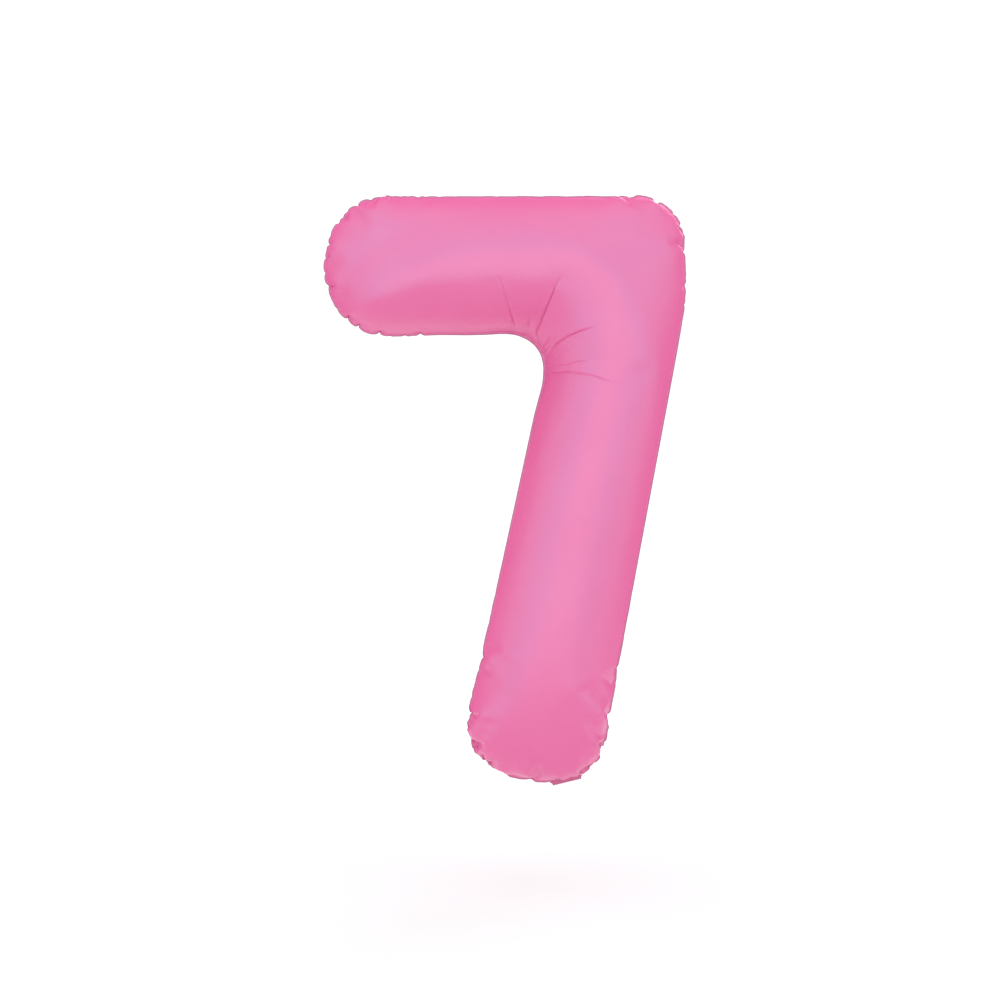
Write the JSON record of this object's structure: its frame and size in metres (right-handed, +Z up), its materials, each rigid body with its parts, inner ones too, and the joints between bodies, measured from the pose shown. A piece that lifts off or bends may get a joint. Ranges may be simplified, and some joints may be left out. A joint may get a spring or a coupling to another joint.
{
  "type": "foil number balloon",
  "caption": "Inflated matt pink foil balloon shaped as the numeral 7, with heat-sealed edge, self-sealing valve, folding inflation tail and punched hanging tabs.",
  "frame": {"origin": "on the seam where the inflation tail leaves the leg, at the bottom right of the figure, where a ribbon is tied", "axes": "+Z up the figure, +X to the right when the figure is read, +Y out of its back; the seam lies in the plane y = 0"},
  "size_m": [0.467, 0.1744, 0.7658],
  "materials": {
    "foil": "satin pink metallised film",
    "seal": "heat-sealed margin",
    "valve_film": "clear polyethylene"
  },
  "bodies": {
    "envelope": {"front_panel": "foil", "back_panel": "foil", "perimeter_seal": "seal", "valve_film_front": "valve_film", "valve_film_back": "valve_film"},
    "tail": {"tail_film_front": "foil", "tail_film_back": "foil", "tail_seal_left": "seal", "tail_seal_right": "seal", "valve_mouth_front": "valve_film", "valve_mouth_back": "valve_film"},
    "left_tab": {"hang_tab_left": "foil"},
    "right_tab": {"hang_tab_right": "foil"}
  },
  "joints": [
    {"name": "tail_fold", "type": "hinge", "parent": "envelope", "child": "tail", "pos_m": [0.00136, 0, -0.00564], "axis": [-0.972, 0, -0.2348], "range_deg": [0, 180]},
    {"name": "left_tab_fold", "type": "hinge", "parent": "envelope", "child": "left_tab", "pos_m": [-0.2166, 0, 0.75407], "axis": [1, 0, 0], "range_deg": [0, 180]},
    {"name": "right_tab_fold", "type": "hinge", "parent": "envelope", "child": "right_tab", "pos_m": [0.0584, 0, 0.75407], "axis": [1, 0, 0], "range_deg": [0, 180]}
  ]
}
